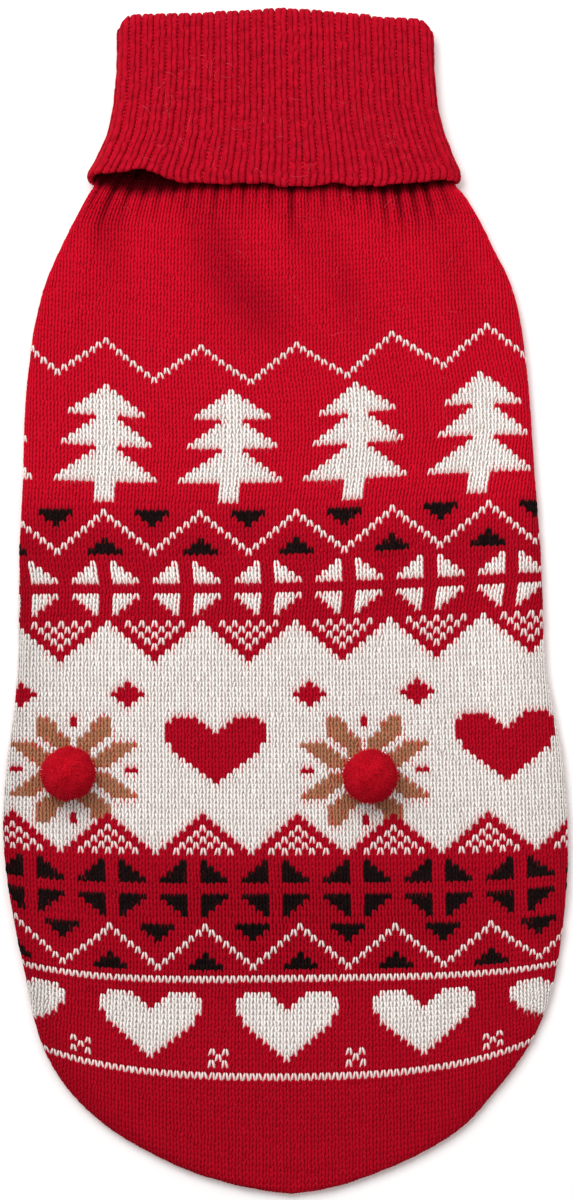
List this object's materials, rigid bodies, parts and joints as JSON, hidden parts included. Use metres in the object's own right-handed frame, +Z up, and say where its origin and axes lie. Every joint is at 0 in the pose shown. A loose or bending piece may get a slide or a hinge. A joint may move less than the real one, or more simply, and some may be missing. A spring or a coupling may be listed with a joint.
{
  "type": "dog sweater",
  "caption": "Knitted turtleneck sweater for a dog, laid flat with its back up, with a turned-down ribbed collar, a rounded tail, leg openings underneath and pompoms on the back.",
  "frame": {"origin": "on the surface that the sweater lies on, under the middle of its outline", "axes": "+X to the right across the back as seen from above with the neck away, +Y along the back towards the neck, +Z up out of the surface"},
  "size_m": [0.2181, 0.4578, 0.0234],
  "materials": {
    "back_knit": "red, cream, black and tan yarn, stocking stitch with a colour pattern",
    "belly_knit": "plain red stocking stitch",
    "band_knit": "red rib knit",
    "collar_knit": "red two-by-two rib knit",
    "pompom_pile": "dense red cut pile"
  },
  "bodies": {
    "root": {"back_panel": "back_knit", "belly_panel": "belly_knit", "leg_band_left": "band_knit", "leg_band_right": "band_knit", "collar": "collar_knit", "pompom_left": "pompom_pile", "pompom_right": "pompom_pile"}
  },
  "joints": []
}
